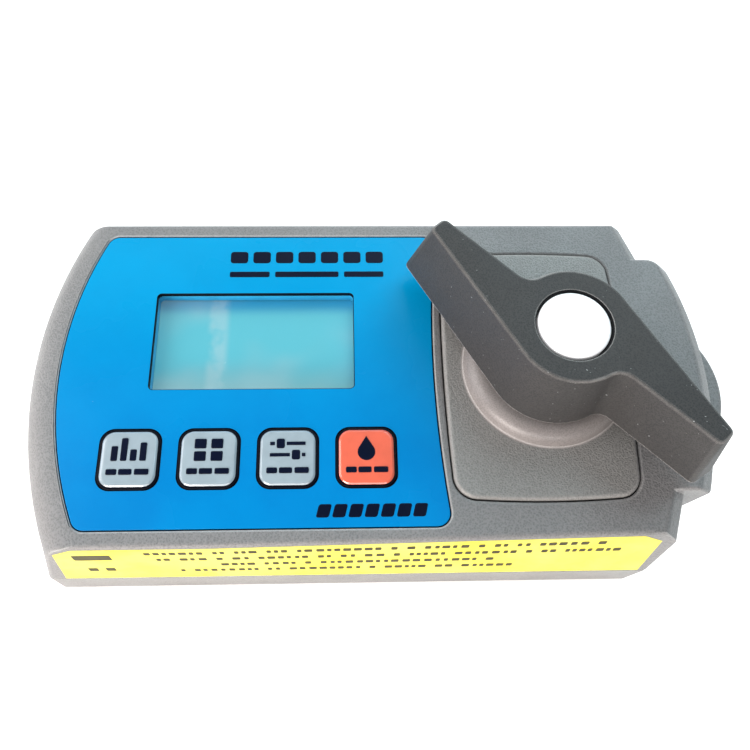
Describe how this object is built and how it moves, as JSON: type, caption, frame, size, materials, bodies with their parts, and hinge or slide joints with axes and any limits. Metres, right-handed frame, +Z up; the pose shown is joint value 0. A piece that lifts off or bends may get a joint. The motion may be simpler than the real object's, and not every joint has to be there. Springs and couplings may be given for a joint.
{
  "type": "grain moisture meter",
  "caption": "Bench instrument with a wedge-sided grey case, a blue keypad with a display, a screw press with a two-armed handle over a slide-in sample tray, and a battery door underneath.",
  "frame": {"origin": "on the table, midway between the case's rounded left end and the front of the tray's grip, on the case's plane of symmetry", "axes": "+X to the user's right, towards the press and the tray's grip; +Y away from the user; +Z up"},
  "size_m": [0.1818, 0.0922, 0.0615],
  "materials": {
    "case_plastic": "fine leather-like moulded texture",
    "handle_plastic": "fine speckled moulded texture, soft sheen",
    "overlay_film": "printed film, semi-gloss",
    "label_film": "printed film, satin",
    "key_grey": "domed, glossy",
    "key_orange": "domed, glossy",
    "cap_white": "glossy",
    "clear_window": "clear plastic pane",
    "display_glass": "unlit liquid crystal panel",
    "black_plastic": "satin",
    "rubber": "matte",
    "steel": "turned or milled",
    "brass": "turned",
    "board": "glass fibre board with green resist",
    "insulator": "plain",
    "cell_wrap": "plain printed sleeve"
  },
  "bodies": {
    "case": {"top_shell": "case_plastic", "bottom_shell": "case_plastic", "front_label": "label_film", "keypad_overlay": "overlay_film", "display_window": "clear_window", "display_panel": "display_glass", "display_holder": "black_plastic", "main_board": "board", "buzzer": "black_plastic", "key_switch_1": "black_plastic", "key_switch_2": "black_plastic", "key_switch_3": "black_plastic", "key_switch_4": "black_plastic", "press_cover": "case_plastic", "press_base": "steel", "press_bridge": "steel", "guide_pillar_front": "steel", "guide_pillar_rear": "steel", "pillar_nut_front": "steel", "pillar_nut_rear": "steel", "spindle_nut": "brass", "tray_guide": "black_plastic", "electrode_insulator": "insulator", "lower_electrode": "brass", "electrode_lead": "black_plastic", "temperature_probe": "black_plastic", "battery_1": "cell_wrap", "battery_2": "cell_wrap", "battery_3": "cell_wrap", "battery_4": "cell_wrap", "battery_contact_front": "steel", "battery_contact_rear": "steel", "case_screw_1": "steel", "case_screw_2": "steel", "case_screw_3": "steel", "case_screw_4": "steel", "foot_1": "rubber", "foot_2": "rubber", "foot_3": "rubber", "foot_4": "rubber"},
    "press_plunger": {"plunger_carrier": "steel", "plunger_insulator": "insulator", "upper_electrode": "steel"},
    "press_handle": {"press_handle": "handle_plastic", "press_spindle": "steel", "spindle_retainer": "steel", "handle_screw": "steel", "handle_cap": "cap_white"},
    "sample_tray": {"sample_tray": "steel", "tray_grip": "case_plastic", "grip_screw": "steel"},
    "key_1": {"key_cap_1": "key_grey", "key_stem_1": "insulator"},
    "key_2": {"key_cap_2": "key_grey", "key_stem_2": "insulator"},
    "key_3": {"key_cap_3": "key_grey", "key_stem_3": "insulator"},
    "key_4": {"key_cap_4": "key_orange", "key_stem_4": "insulator"},
    "battery_door": {"battery_door": "case_plastic"}
  },
  "joints": [
    {"name": "press_plunger_lift", "type": "slide", "parent": "case", "child": "press_plunger", "axis": [0, 0, 1], "range_m": [0, 0.0045]},
    {"name": "press_handle_turn", "type": "hinge", "parent": "press_plunger", "child": "press_handle", "pos_m": [0.04008, 0, 0.0427], "axis": [0, 0, 1], "range_deg": [0, 400]},
    {"name": "sample_tray_slide", "type": "slide", "parent": "case", "child": "sample_tray", "axis": [1, 0, 0], "range_m": [0, 0.056]},
    {"name": "key_1_press", "type": "slide", "parent": "case", "child": "key_1", "axis": [0, 0, -1], "range_m": [0, 0.0005], "stiffness_N_per_m": 3000},
    {"name": "key_2_press", "type": "slide", "parent": "case", "child": "key_2", "axis": [0, 0, -1], "range_m": [0, 0.0005], "stiffness_N_per_m": 3000},
    {"name": "key_3_press", "type": "slide", "parent": "case", "child": "key_3", "axis": [0, 0, -1], "range_m": [0, 0.0005], "stiffness_N_per_m": 3000},
    {"name": "key_4_press", "type": "slide", "parent": "case", "child": "key_4", "axis": [0, 0, -1], "range_m": [0, 0.0005], "stiffness_N_per_m": 3000},
    {"name": "battery_door_open", "type": "hinge", "parent": "case", "child": "battery_door", "pos_m": [-0.06542, 0, 0.002], "axis": [0, 1, 0], "range_deg": [0, 90]}
  ],
  "couplings": [
    {"joint": "press_plunger_lift", "follows": "press_handle_turn", "m_per_rad": 0.00063662}
  ]
}
